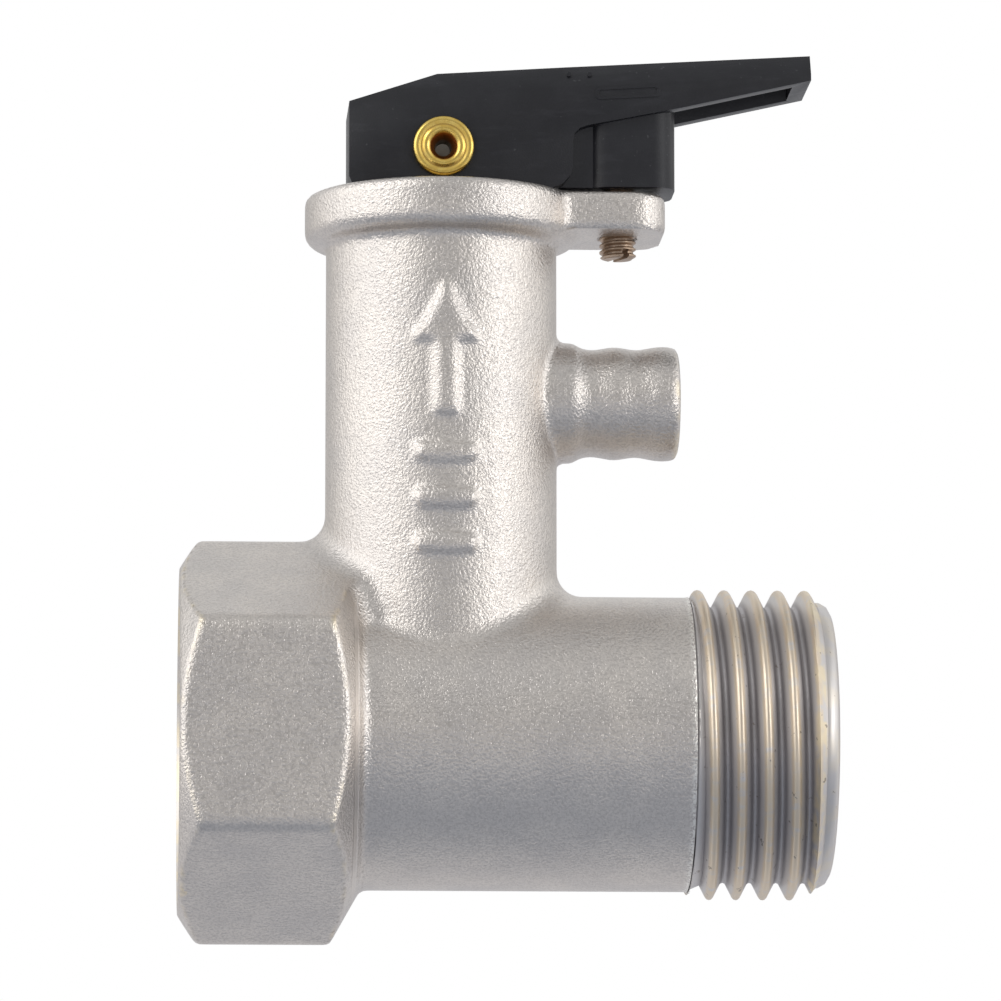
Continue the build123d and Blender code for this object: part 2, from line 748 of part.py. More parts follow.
with BuildPart() as poppet_seal:
    with BuildSketch(Plane.YZ.offset(seal_x)):
        Circle(poppet_seal_outer)
        Circle(poppet_seal_inner, mode=Mode.SUBTRACT)
    extrude(amount=poppet_seal_thickness)
save(poppet_seal, "poppet_seal")

with BuildPart() as check_spring:
    with BuildLine() as check_coil:
        coil_length = poppet_x - web_x - 2 * check_spring_wire_radius
        Helix(
            coil_length / check_spring_turns,
            coil_length,
            check_spring_mean_radius,
            center=(web_x + check_spring_wire_radius, 0, 0),
            direction=(1, 0, 0),
        )
    with BuildSketch(Plane(check_coil.line @ 0, z_dir=check_coil.line % 0)):
        Circle(check_spring_wire_radius)
    sweep(is_frenet=True)
save(check_spring, "check_spring")

retainer_outer = check_bore_radius + retainer_groove_depth - retainer_gap
with BuildPart() as check_retainer:
    with BuildSketch(Plane.YZ.offset(retainer_x + retainer_gap / 2)):
        Circle(retainer_outer)
        Circle(retainer_outer - retainer_section, mode=Mode.SUBTRACT)
        with BuildLine():
            opening = retainer_outer * 1.5
            Polyline(
                (0, 0),
                (opening * tan(radians(retainer_opening_deg / 2)), -opening),
                (-opening * tan(radians(retainer_opening_deg / 2)), -opening),
                close=True,
            )
        make_face(mode=Mode.SUBTRACT)
    extrude(amount=retainer_thickness)
save(check_retainer, "check_retainer")
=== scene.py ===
# %% [markdown]
# # A relief valve for a water heater
# The valve is one nickel-plated brass forging with a black plastic lever on top. A female hexagon port goes
# to the heater, a male port to the cold supply, and the tower between them holds a relief valve.
# The CAD model fixes every size and every moving part. This lesson gives it its looks: a forging that is
# rounded where it was forged and sharp where it was machined, real helical threads, a moulded lever, and
# finishes with grain, turning marks and wear. The first cell loads the model and keeps its box.

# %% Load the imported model
import json
import math
import bmesh
import bpy
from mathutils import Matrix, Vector


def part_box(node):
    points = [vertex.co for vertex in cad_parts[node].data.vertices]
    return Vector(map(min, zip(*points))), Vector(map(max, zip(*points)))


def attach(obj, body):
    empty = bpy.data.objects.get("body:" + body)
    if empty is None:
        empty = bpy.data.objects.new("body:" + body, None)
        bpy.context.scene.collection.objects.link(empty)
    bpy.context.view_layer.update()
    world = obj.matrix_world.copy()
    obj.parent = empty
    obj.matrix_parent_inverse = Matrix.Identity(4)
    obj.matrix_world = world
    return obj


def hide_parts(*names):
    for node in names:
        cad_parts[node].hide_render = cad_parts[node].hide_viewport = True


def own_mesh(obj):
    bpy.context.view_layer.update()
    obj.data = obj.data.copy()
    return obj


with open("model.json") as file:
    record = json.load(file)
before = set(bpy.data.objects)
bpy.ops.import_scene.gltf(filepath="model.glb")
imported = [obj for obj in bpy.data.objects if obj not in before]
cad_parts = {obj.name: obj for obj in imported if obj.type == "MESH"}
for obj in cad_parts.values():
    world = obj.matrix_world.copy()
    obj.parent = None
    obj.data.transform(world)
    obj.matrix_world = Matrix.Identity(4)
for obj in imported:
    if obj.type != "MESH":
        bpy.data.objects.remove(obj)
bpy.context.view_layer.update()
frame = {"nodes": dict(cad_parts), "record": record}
MM = 0.001

# %% [markdown]
# ## Where things are
# Everything is worked out in millimetres. The main axes and heights come from the CAD nodes and from the
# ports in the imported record, so that each new piece lands where its CAD node is.

# %% Axes and heights from the frame
mounts = {mount["name"]: mount for mount in frame["record"]["mounts"]}


def box_mm(node):
    """Lowest and highest corner of a CAD node, in millimetres."""
    low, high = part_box(node)
    return low / MM, high / MM


body_high = box_mm("valve_body")[1]
rivet_low, rivet_high = box_mm("pivot_rivet")
screw_low, screw_high = box_mm("lock_screw")
run_end = body_high.x
tower_top = body_high.z
pivot = (rivet_low + rivet_high) / 2
tower_x = pivot.x
screw_x = (screw_low.x + screw_high.x) / 2
nozzle_tip = mounts["drain_hose_barb"]["pos_m"][0] / MM
nozzle_z = mounts["drain_bore"]["pos_m"][2] / MM
thread_minor = mounts["heater_port"]["dims"]["r_mm"]
thread_major = mounts["supply_port"]["dims"]["r_mm"]
ALONG_RUN = Vector((1, 0, 0))
ALONG_PIVOT = Vector((0, 1, 0))
ALONG_TOWER = Vector((0, 0, 1))
print("tower at", round(tower_x, 2), "top", round(tower_top, 2), "pivot height", round(pivot.z, 2))

# %% [markdown]
# ## Camera
# A long lens from a little below and to the left of the valve keeps the pipe and the tower nearly straight,
# as a catalogue picture does. The camera is aimed first, because every later choice is judged through it.

# %% Aim the camera
camera_azimuth = math.radians(-3.0)
camera_elevation = math.radians(-8.3)
camera_distance = 0.5016
camera_aim = Vector((21.75, 0, 16.6)) * MM
camera_back = Vector((
    math.sin(camera_azimuth) * math.cos(camera_elevation),
    -math.cos(camera_azimuth) * math.cos(camera_elevation),
    math.sin(camera_elevation),
))
camera_data = bpy.data.cameras.new("studio_camera")
camera_data.lens = 265.9
camera_data.sensor_width = 36
camera_data.clip_start = 0.01
camera_data.clip_end = 50
camera = bpy.data.objects.new("studio_camera", camera_data)
bpy.context.scene.collection.objects.link(camera)
camera.location = camera_aim + camera_back * camera_distance
camera.rotation_mode = "QUATERNION"
camera.rotation_quaternion = (-camera_back).to_track_quat("-Z", "Y")
bpy.context.scene.camera = camera
print("camera at", [round(value, 4) for value in camera.location])

# %% [markdown]
# ## Sums on sockets
# A finish is a web of nodes. Written out link by link it is hard to read, so a socket is wrapped in a small
# class whose operators add Math nodes: `grain * 0.4 + 0.3` then reads like what it does. Every other node
# comes from one method, which takes the node's type, its settings and what its sockets hold.


# %% Wire and Web
class Wire:
    """An output socket. Python's own operators on it add Math nodes."""

    def __init__(self, web, socket):
        self.web = web
        self.socket = socket

    def maths(self, operation, *values):
        return self.web.node("ShaderNodeMath", {"operation": operation}, dict(enumerate(values)))

    def __add__(self, other):
        return self.maths("ADD", self, other)

    def __sub__(self, other):
        return self.maths("SUBTRACT", self, other)

    def __rsub__(self, other):
        return self.maths("SUBTRACT", other, self)

    def __mul__(self, other):
        return self.maths("MULTIPLY", self, other)

    def __pow__(self, other):
        return self.maths("POWER", self, other)

    def __or__(self, other):
        return self.maths("MAXIMUM", self, other)

    __radd__ = __add__
    __rmul__ = __mul__

    def rising(self, start, end):
        """0 up to start, 1 from end, and a soft step between. It falls instead if start is past end."""
        limits = {"Value": self, "From Min": min(start, end), "From Max": max(start, end)}
        limits["To Min"] = 0.0 if start < end else 1.0
        limits["To Max"] = 1.0 if start < end else 0.0
        return self.web.node("ShaderNodeMapRange", {"interpolation_type": "SMOOTHSTEP"}, limits)


class Web:
    """A node tree, with the one way in which its nodes are made."""

    def __init__(self, owner):
        owner.use_nodes = True
        self.owner = owner
        self.tree = owner.node_tree
        self.tree.nodes.clear()

    def node(self, kind, settings=None, inputs=None, output=0):
        made = self.tree.nodes.new(kind)
        for name, value in (settings or {}).items():
            setattr(made, name, value)
        for name, value in (inputs or {}).items():
            if isinstance(value, Wire):
                self.tree.links.new(value.socket, made.inputs[name])
            else:
                made.inputs[name].default_value = value
        return Wire(self, made.outputs[output]) if len(made.outputs) else None

    def mix(self, factor, first, second):
        """A colour between two, each a wire or three numbers."""
        first, second = (colour if isinstance(colour, Wire) else (*colour, 1.0) for colour in (first, second))
        return self.node("ShaderNodeMix", {"data_type": "RGBA"}, {0: factor, 6: first, 7: second}, 2)

    def split(self, place):
        """The x, y and z of a place or a direction."""
        return [self.node("ShaderNodeSeparateXYZ", {}, {"Vector": place}, axis) for axis in range(3)]

    def noise(self, where, size, detail=2.0, roughness=0.5):
        """Soft random values about 0.5, whose blobs are about size across."""
        inputs = {"Vector": where, "Scale": 1.0 / size, "Detail": detail, "Roughness": roughness}
        return self.node("ShaderNodeTexNoise", {}, inputs)

    def stretched(self, where, scale):
        """The same places, squeezed by a factor along each axis, so that a pattern runs out into streaks."""
        return self.node("ShaderNodeMapping", {"vector_type": "POINT"}, {"Vector": where, "Scale": scale})

    def bump(self, height, depth):
        """A normal that follows a height between 0 and 1, depth millimetres deep."""
        return self.node("ShaderNodeBump", {}, {"Height": height, "Distance": depth * MM, "Strength": 1.0})


print("nodes can be written as sums")

# %% [markdown]
# ## A plain studio
# Satin metal shows whatever stands round it. Here that is a pale tent with bright walls at both sides, the
# left one brighter still, a bright wall high up behind the valve, and a dimmer patch round the camera. The
# walls and the patch give a round part its bright edges and darker middle. Two soft lamps add the sparkle on
# the grain. The tent is white where the camera looks straight at it. The floor is plain and pale, well below
# the valve, with painted shade in its reflections: darker and bluish under the front, shading the run's lower
# half.


# %% Tent, lamps and floor
def build_tent():
    world = bpy.data.worlds.new("tent")
    bpy.context.scene.world = world
    web = Web(world)
    direction = web.node("ShaderNodeTexCoord", output="Generated")
    x, y, z = web.split(direction)
    aside = x.maths("ABSOLUTE", x)
    off_level = z.maths("ABSOLUTE", z)
    side_walls = aside.rising(0.38, 0.80) * off_level.rising(0.85, 0.35) * y.rising(0.80, 0.0)
    round_camera = y.rising(-0.76, -0.96)
    back_wall = y.rising(0.35, 0.80) * z.rising(0.25, 0.60)
    left_wall = x.rising(-0.35, -0.80) * side_walls
    glow = 0.58 + side_walls * 0.77 + left_wall * 0.44 - round_camera * 0.19 + back_wall * 0.36
    seen = web.node("ShaderNodeLightPath", output="Is Camera Ray")
    strength = seen * (1.0 - glow) + glow
    colour = web.mix(z.rising(-0.6, 0.6), (1.0, 0.965, 0.93), (0.965, 0.98, 1.0))
    colour = web.mix(seen, colour, (1.0, 1.0, 1.0))
    background = web.node("ShaderNodeBackground", {}, {"Color": colour, "Strength": strength})
    web.node("ShaderNodeOutputWorld", {}, {"Surface": background})


def add_softbox(name, place, size, power):
    """A square lamp that faces the valve."""
    data = bpy.data.lights.new(name, "AREA")
    data.size = size
    data.energy = power
    lamp = bpy.data.objects.new(name, data)
    bpy.context.scene.collection.objects.link(lamp)
    lamp.location = place
    lamp.rotation_mode = "QUATERNION"
    lamp.rotation_quaternion = (camera_aim - lamp.location).to_track_quat("-Z", "Y")


def build_floor():
    """A round floor, in metres, as the tent's and the lamps' sizes are."""
    bpy.ops.object.select_all(action="DESELECT")
    bpy.ops.mesh.primitive_circle_add(
        vertices=96, radius=floor_radius, fill_type="NGON", location=(0, 0, floor_height),
    )
    floor = bpy.context.object
    floor.name = "floor"
    web = Web(bpy.data.materials.new("pale_floor"))
    place = web.node("ShaderNodeTexCoord", output="Object")
    tone = web.mix(web.noise(place, 0.4), (0.80, 0.80, 0.80), (0.84, 0.84, 0.84))
    y = web.split(place)[1]
    # painted shade: a darker bluish patch under the valve's front, seen only in mirrored rays
    painted_shade_under_front = y.rising(-0.45, -0.12) * y.rising(0.06, -0.01)
    painted_shade_mirror_tone = web.mix(painted_shade_under_front, (0.80, 0.80, 0.83), (0.42, 0.45, 0.51))
    mirrored = web.node("ShaderNodeLightPath", output="Is Glossy Ray")
    tone = web.mix(mirrored, tone, painted_shade_mirror_tone)
    paint = web.node("ShaderNodeBsdfPrincipled", {}, {"Base Color": tone, "Roughness": 0.8})
    web.node("ShaderNodeOutputMaterial", {}, {"Surface": paint})
    floor.data.materials.append(web.owner)


floor_radius = 4.0
floor_height = -0.085
softbox_size = 0.25
build_tent()
add_softbox("key_softbox", Vector((-0.45, -0.45, 0.50)), softbox_size, 0.7)
add_softbox("side_softbox", Vector((0.60, -0.40, 0.15)), softbox_size, 0.45)
build_floor()
bpy.context.scene.view_settings.view_transform = "Standard"
print("tent, two softboxes and a floor")

# %% [markdown]
# ## Tools for modelling
# Each of these does one thing that a person does by hand: select, cut, join, lathe a shape, or wind a
# thread. A shape is drawn as a circle with as many corners as its outline has, whose corners are then put
# in place, and it is extruded, spun or wound from there. Boolean cuts use the manifold solver, which is
# quick and exact on closed shapes.


# %% Selecting and applying
def only(piece):
    """Select one object alone."""
    bpy.ops.object.select_all(action="DESELECT")
    piece.select_set(True)
    bpy.context.view_layer.objects.active = piece


def edit(piece):
    only(piece)
    bpy.ops.object.mode_set(mode="EDIT")
    bpy.ops.mesh.select_all(action="SELECT")


def leave_edit():
    bpy.ops.object.mode_set(mode="OBJECT")


def pick(piece, kind, test):
    """In edit mode, select just the faces, edges or corners that pass a test."""
    mesh = bmesh.from_edit_mesh(piece.data)
    mesh.select_mode = {kind}
    bpy.ops.mesh.select_mode(type=kind)
    bpy.ops.mesh.select_all(action="DESELECT")
    mesh = bmesh.from_edit_mesh(piece.data)
    items = {"FACE": mesh.faces, "EDGE": mesh.edges, "VERT": mesh.verts}[kind]
    for item in items:
        if test(item):
            item.select_set(True)
    mesh.select_flush_mode()
    bmesh.update_edit_mesh(piece.data)


def tidy_mesh(piece):
    """Merge doubles, drop loose bits and turn the faces outwards."""
    edit(piece)
    bpy.ops.mesh.remove_doubles(threshold=0.0005 * MM)
    bpy.ops.mesh.delete_loose()
    bpy.ops.mesh.select_all(action="SELECT")
    bpy.ops.mesh.normals_make_consistent(inside=False)
    leave_edit()


def apply_modifier(piece, kind, **settings):
    only(piece)
    modifier = piece.modifiers.new(kind.lower(), kind)
    for name, value in settings.items():
        setattr(modifier, name, value)
    bpy.ops.object.modifier_apply(modifier=modifier.name)


def combine(piece, tool, operation):
    """Join a closed tool to a closed piece, cut it away, or keep what they share."""
    apply_modifier(piece, "BOOLEAN", object=tool, operation=operation, solver="MANIFOLD")
    bpy.data.objects.remove(tool)


def copy_node(node, name):
    """A merged copy of a CAD node's mesh, as a new piece."""
    piece = bpy.data.objects.new(name, frame["nodes"][node].data.copy())
    bpy.context.scene.collection.objects.link(piece)
    piece.data.materials.clear()
    only(piece)
    bpy.ops.mesh.customdata_custom_splitnormals_clear()
    tidy_mesh(piece)
    return piece


def closed(piece):
    """True if every edge has exactly two faces."""
    mesh = bmesh.new()
    mesh.from_mesh(piece.data)
    whole = all(edge.is_manifold for edge in mesh.edges)
    mesh.free()
    return whole


print("hand tools ready")


# %% Drawing, turning and winding
def draw(name, corners):
    """A closed outline through corners, each a place in millimetres."""
    bpy.ops.object.select_all(action="DESELECT")
    bpy.ops.mesh.primitive_circle_add(vertices=len(corners), fill_type="NOTHING")
    piece = bpy.context.object
    piece.name = name
    for vertex, corner in zip(piece.data.vertices, corners):
        vertex.co = Vector(corner) * MM
    return piece


def slab(name, corners, thickness):
    """A flat outline, filled and extruded by a vector in millimetres."""
    piece = draw(name, corners)
    edit(piece)
    bpy.ops.mesh.edge_face_add()
    bpy.ops.mesh.extrude_region_move(TRANSFORM_OT_translate={"value": Vector(thickness) * MM})
    leave_edit()
    tidy_mesh(piece)
    return piece


def across(axis):
    """A direction square to an axis, in which a turned outline is drawn."""
    return ALONG_RUN if axis == ALONG_TOWER else ALONG_TOWER


def turned(name, outline, axis, centre=Vector(), steps=96):
    """A lathed piece: an outline of (along, radius) pairs, spun round an axis through centre."""
    corners = [centre + axis * along + across(axis) * radius for along, radius in outline]
    piece = draw(name, corners)
    edit(piece)
    bpy.ops.mesh.spin(steps=steps, angle=2 * math.pi, center=centre * MM, axis=axis)
    leave_edit()
    tidy_mesh(piece)
    return piece


def wound(name, outline, axis, centre, pitch, turns, steps=96):
    """A ridge or a wire that winds round an axis: an outline of (along, radius) pairs, screwed up it."""
    corners = [axis * along + across(axis) * radius for along, radius in outline]
    piece = draw(name, corners)
    letter = "XYZ"[[abs(value) for value in axis].index(1)]
    apply_modifier(
        piece, "SCREW", axis=letter, angle=2 * math.pi, screw_offset=pitch * MM, iterations=turns,
        steps=steps, render_steps=steps, use_smooth_shade=False,
    )
    piece.location = centre * MM
    only(piece)
    bpy.ops.object.transform_apply(location=True, rotation=False, scale=False)
    edit(piece)
    bpy.ops.mesh.fill_holes(sides=0)
    leave_edit()
    tidy_mesh(piece)
    return piece


print("lathe and thread winder ready")

# %% [markdown]
# ## Finishing a piece
# A finished piece gets its smooth shading, its material, the CAD body that it rides on and the CAD nodes
# that it stands for. Sharp corners stay sharp: only edges flatter than the given angle are smoothed.


# %% Finish and ride
def finish_piece(piece, finish, body, nodes, angle=35):
    only(piece)
    bpy.ops.object.shade_smooth_by_angle(angle=math.radians(angle))
    piece.data.materials.clear()
    piece.data.materials.append(finish)
    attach(piece, body)
    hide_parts(*nodes)
    triangles = sum(len(face.vertices) - 2 for face in piece.data.polygons)
    print(piece.name, "triangles", triangles, "closed", closed(piece))


# %% [markdown]
# ## Nickel plate over a sandblasted forging
# The body is hot-forged brass, blasted with grit and plated with thin nickel, so it is a warm pale grey with
# a fine pebbled grain that sparkles. The ports are machined: there the grain is gone, fine turning lines
# run round, and the plate is worn to brass on the crests. One finish does it all. Where the tool has been is
# known from the place alone, so masks are worked out from the distance to the run's axis and to the tower's.


# %% The nickel finish
def start_finish(name):
    """A new material's web and the place on the object in millimetres."""
    web = Web(bpy.data.materials.new(name))
    place = web.node("ShaderNodeTexCoord", output="Object")
    place = web.node("ShaderNodeVectorMath", {"operation": "SCALE"}, {"Vector": place, "Scale": 1 / MM})
    return web, place


def end_finish(web, **sockets):
    """Set the shader's sockets, whose names have _ for a space, and return the material."""
    inputs = {name.replace("_", " "): value for name, value in sockets.items()}
    shader = web.node("ShaderNodeBsdfPrincipled", {}, inputs)
    web.node("ShaderNodeOutputMaterial", {}, {"Surface": shader})
    return web.owner


shoulder_x = 34.4
rim_x = 42.8
mouth_depth = 11.9
mouth_radius = 11.3
passage_wall = 8.8
tower_bore_wall = 7.0
hexagon_end = 13.0


def nickel_plated_forging():
    """Satin nickel: grained where forged, lined where turned, rubbed to brass on crests, rims and corners,
    with painted shade in the thread's roots and a painted highlight at the shoulder.
    """
    web, place = start_finish("nickel_plated_forging")
    x, y, z = web.split(place)

    # where a tool has been
    from_run = (y * y + z * z) ** 0.5
    from_tower = ((x - tower_x) * (x - tower_x) + y * y) ** 0.5
    thread = x.rising(shoulder_x - 0.1, shoulder_x)
    heater_port = from_run.rising(mouth_radius, mouth_radius - 0.1) * x.rising(mouth_depth, mouth_depth - 0.1)
    tower_bore = from_tower.rising(tower_bore_wall, tower_bore_wall - 0.1) * z.rising(10.4, 10.5)
    inside = from_run.rising(passage_wall, passage_wall - 0.1) | tower_bore
    machined = thread | heater_port | inside | z.rising(tower_top - 0.1, tower_top - 0.02)
    forged = 1.0 - machined

    # patterns
    grain = web.noise(place, 0.17, 2.0, 0.6)
    pebble = web.noise(place, 0.34, 2.0, 0.6)
    patches = web.noise(place, 3.5, 3.0)
    turning = web.noise(web.stretched(place, (9.0, 0.5, 0.5)), 1.0, 2.0, 0.7)
    streaks = web.noise(web.stretched(place, (0.6, 1.6, 1.6)), 1.0, 2.0)
    rubbed = web.noise(place, 1.6, 2.0).rising(0.40, 0.60)
    nick = web.noise(place, 0.8, 3.0, 0.7).rising(0.66, 0.71)

    # the plate, then the thread's brassy worn crests and its roots darkened as painted shade
    plate = web.mix(patches.rising(0.35, 0.68), (0.78, 0.725, 0.67), (0.71, 0.665, 0.625))
    plate = web.mix(grain.rising(0.58, 0.36) * 0.5 * forged, plate, (0.52, 0.485, 0.455))
    crest = from_run.rising(9.95, 10.3) * thread
    # painted shade: the thread's roots between the crests are darkened
    root = from_run.rising(9.85, 9.45) * thread * x.rising(rim_x, rim_x - 0.2)
    plate = web.mix(thread, plate, (0.70, 0.67, 0.65))
    plate = web.mix(crest * streaks.rising(0.20, 0.50) * 0.8, plate, (0.80, 0.67, 0.50))
    plate = web.mix(root * 0.7, plate, (0.36, 0.34, 0.35))

    # brass that shows at rubbed corners and rims, a pale painted highlight on the run just before the
    # shoulder, and nicks
    edge = web.node("ShaderNodeNewGeometry", output="Pointiness")
    hex_edge = edge.rising(0.515, 0.55) * x.rising(hexagon_end, hexagon_end - 1.0)
    hex_edge = hex_edge * from_run.rising(10.0, 10.6) * z.rising(12.5, 12.2)
    rim = x.rising(rim_x - 0.1, rim_x + 0.1) * from_run.rising(8.2, 8.4)
    tip = x.rising(nozzle_tip - 0.6, nozzle_tip - 0.1) * z.rising(15.0, 15.1) * z.rising(31.1, 31.0)
    # painted highlight: a pale band on the forged run just before the shoulder
    painted_highlight_shoulder_band = x.rising(shoulder_x - 0.55, shoulder_x - 0.15) * x.rising(shoulder_x, shoulder_x - 0.01)
    last_crest = x.rising(rim_x - 0.75, rim_x - 0.45) * x.rising(rim_x + 0.25, rim_x + 0.05)
    worn = (hex_edge * 0.8 | rim * 0.3 | tip * 0.7 | last_crest * from_run.rising(9.3, 9.6)) * rubbed
    plate = web.mix(worn, plate, (0.86, 0.75, 0.56))
    # painted highlight at the shoulder, broken up by the grain
    plate = web.mix(painted_highlight_shoulder_band * grain.rising(0.42, 0.56), plate, (0.93, 0.90, 0.84))
    plate = web.mix(nick * thread * 0.7, plate, (0.22, 0.18, 0.15))

    # grain where it is forged, fine lines where it is turned
    roughness = 0.27 + forged * grain * 0.12 + machined * (turning * 0.14 + 0.06)
    height = (grain * 0.6 + pebble * 0.4) * forged + turning * machined * 0.10
    normal = web.bump(height, 0.085)
    return end_finish(web, Base_Color=plate, Metallic=1.0, Roughness=roughness, Normal=normal)


nickel = nickel_plated_forging()
print("made", nickel.name)

# %% [markdown]
# ## The valve body as it is made
# A forging is soft at every edge, and the CAD body is sharp. So the blank is made first: a copy of the CAD
# body with its holes plugged, rebuilt by a voxel remesh and smoothed a little, which rounds every edge and
# softens the raised marks as a die does. Then it is machined, in the order a workshop would: the shoulder is
# faced, the male end is turned and threaded, and the passages, the chamber and the drain are bored.

# %% Forge the blank
grain_of_blank = 0.275
tower_foot = Vector((tower_x, 0, 0))
screw_foot = Vector((screw_x, 0, 0))
drain_start = Vector((0, 0, nozzle_z))


def rod(start, end, radius):
    """The outline of a plain rod, or of a drill for a plain hole."""
    return [(start, 0), (start, radius), (end, radius), (end, 0)]


blank = copy_node("valve_body", "valve_body_plated")
plugs = [
    turned("plug_heater", rod(0, 11.4, 11.1), ALONG_RUN),
    turned("plug_run", rod(11.0, 38.0, 8.8), ALONG_RUN),
    turned("plug_tower", rod(3.0, tower_top, 7.1), ALONG_TOWER, tower_foot),
    turned("plug_nozzle", rod(tower_x, nozzle_tip, 2.8), ALONG_RUN, drain_start),
    turned("plug_lug", rod(35.2, tower_top, 1.6), ALONG_TOWER, screw_foot),
]
only(blank)
for plug in plugs:
    plug.select_set(True)
bpy.ops.object.join()
apply_modifier(blank, "REMESH", mode="VOXEL", voxel_size=grain_of_blank * MM, use_smooth_shade=True)
apply_modifier(blank, "SMOOTH", factor=0.5, iterations=2)
edit(blank)
bpy.ops.mesh.bisect(
    plane_co=(shoulder_x * MM, 0, 0), plane_no=(1, 0, 0), use_fill=True, clear_outer=True,
)
leave_edit()
tidy_mesh(blank)
print("forged blank has", len(blank.data.polygons), "faces, closed", closed(blank))

# %% [markdown]
# ## Threads
# A pipe thread has flanks at 27.5 degrees and rounded crests and roots. One turn's outline is worked out from
# the pitch and the two diameters, and wound into a ridge. On the male end the ridge is trimmed to the bar
# that it was cut from and joined to the core, and in the heater port the same ridge is the tap.


# %% Thread outline
def pipe_thread(root, crest):
    """(along, radius) pairs over one turn, from root to root, with its foot sunk below the root."""
    rounding = 0.1373 * pitch
    swing = math.radians(90 - flank_degrees)
    crest_arc = [
        (rounding * math.sin(swing * part), crest - rounding * (1 - math.cos(swing * part)))
        for part in (-1, -0.5, 0, 0.5, 1)
    ]
    root_arc = [
        (pitch / 2 - rounding * math.sin(swing * part), root + rounding * (1 - math.cos(swing * part)))
        for part in (1, 0.55, 0.1)
    ]
    foot = (root_arc[-1][0], root - foot_sunk)
    right = [*root_arc, foot]
    left = [(-along, radius) for along, radius in reversed(right)]
    return left + crest_arc + right


pitch = 1.814
flank_degrees = 27.5
foot_sunk = 0.15
ridge_turns = 7
under_thread = 8.9
male_first_crest = shoulder_x + 0.55
female_first_crest = 1.527


def thread_ridge(name, first_crest):
    """A pipe thread's ridge, which starts two turns before its first crest and is trimmed later."""
    start = Vector((first_crest - 2 * pitch, 0, 0))
    return wound(name, pipe_thread(thread_minor, thread_major), ALONG_RUN, start, pitch, ridge_turns)


male_ridge = thread_ridge("male_ridge", male_first_crest)
bar_outline = [
    (shoulder_x, under_thread), (shoulder_x, thread_major), (rim_x - 0.42, thread_major),
    (rim_x + 0.32, 9.55), (rim_x + 0.32, under_thread),
]
combine(male_ridge, turned("bar", bar_outline, ALONG_RUN), "INTERSECT")
print("male thread has", len(male_ridge.data.polygons), "faces, closed", closed(male_ridge))

# %% Turn and thread the male end
fine_steps = 128
run_out = 9.78
rim_radius = 9.65
core_outline = [
    (shoulder_x - 2, 0), (shoulder_x - 2, run_out), (shoulder_x + 0.15, run_out),
    (shoulder_x + 1.2, thread_minor), (rim_x - 0.1, thread_minor), (rim_x + 0.15, rim_radius),
    (run_end - 0.7, rim_radius), (run_end - 0.25, 9.4), (run_end, 8.95), (run_end, 0),
]
combine(blank, turned("male_core", core_outline, ALONG_RUN, steps=fine_steps), "UNION")
chamfer = [(shoulder_x - 0.15, 10.4), (shoulder_x + 0.05, 10.4), (shoulder_x + 0.05, 9.6), (shoulder_x, 9.6)]
combine(blank, turned("shoulder_tool", chamfer, ALONG_RUN, steps=fine_steps), "DIFFERENCE")
combine(blank, male_ridge, "UNION")
print("male end threaded, closed", closed(blank))

# %% Bore the run and tap the heater port
gasket_seat = 11.29
passage_radius = 6.0
check_bore = 27.9
check_radius = 7.5
groove_start = 40.2
groove_end = groove_start + 1.0
groove_radius = 8.1
tap_end = 10.6
passage_outline = [
    (-1, 0), (-1, 11.95), (0, 10.95), (1.6, thread_minor), (gasket_seat - 1.3, thread_minor),
    (gasket_seat - 1.2, thread_major), (gasket_seat, thread_major), (gasket_seat, passage_radius),
    (check_bore, passage_radius), (check_bore, check_radius), (groove_start, check_radius),
    (groove_start, groove_radius), (groove_end, groove_radius), (groove_end, check_radius),
    (run_end - 0.3, check_radius), (run_end, check_radius + 0.3), (run_end + 1, check_radius + 0.3),
    (run_end + 1, 0),
]
combine(blank, turned("passage", passage_outline, ALONG_RUN, steps=fine_steps), "DIFFERENCE")
tap = thread_ridge("tap", female_first_crest)
reach_outline = [
    (-0.5, under_thread), (-0.5, 11.2), (0.25, thread_major), (tap_end, thread_major),
    (tap_end, under_thread),
]
combine(tap, turned("tap_reach", reach_outline, ALONG_RUN), "INTERSECT")
combine(blank, tap, "DIFFERENCE")
print("heater port tapped, closed", closed(blank))

# %% Bore the chamber, the drain and the lug
seat_radius = 2.6
seat_height = 12.2
chamber_floor = 11.0
chamber_radius = 6.1
bush_seat = tower_top - 8.4
bush_radius = 6.65
chamber_outline = [
    (0, 0), (0, seat_radius), (seat_height, seat_radius), (seat_height, 3.0), (chamber_floor, 3.6),
    (chamber_floor, chamber_radius), (bush_seat, chamber_radius), (bush_seat, bush_radius),
    (tower_top - 0.4, bush_radius), (tower_top, tower_bore_wall), (tower_top + 1, tower_bore_wall),
    (tower_top + 1, 0),
]
combine(blank, turned("chamber", chamber_outline, ALONG_TOWER, tower_foot), "DIFFERENCE")
drain_radius = 2.3
drain_mouth = 2.65
drill_outline = [
    (tower_x, 0), (tower_x, drain_radius), (nozzle_tip - 0.4, drain_radius), (nozzle_tip, drain_mouth),
    (nozzle_tip + 1, drain_mouth), (nozzle_tip + 1, 0),
]
combine(blank, turned("drain_drill", drill_outline, ALONG_RUN, drain_start, 64), "DIFFERENCE")
lug_drill = turned("lug_drill", rod(30, tower_top + 1, 1.3), ALONG_TOWER, screw_foot, 48)
combine(blank, lug_drill, "DIFFERENCE")
finish_piece(blank, nickel, "valve", ["valve_body"], 42)

# %% [markdown]
# ## Black plastic
# The lever is moulded in black nylon: satin, very faintly grained by the mould, a little lighter where hands
# and handling have rubbed it. The grain is a fine bump and the rubbing changes colour and roughness softly.


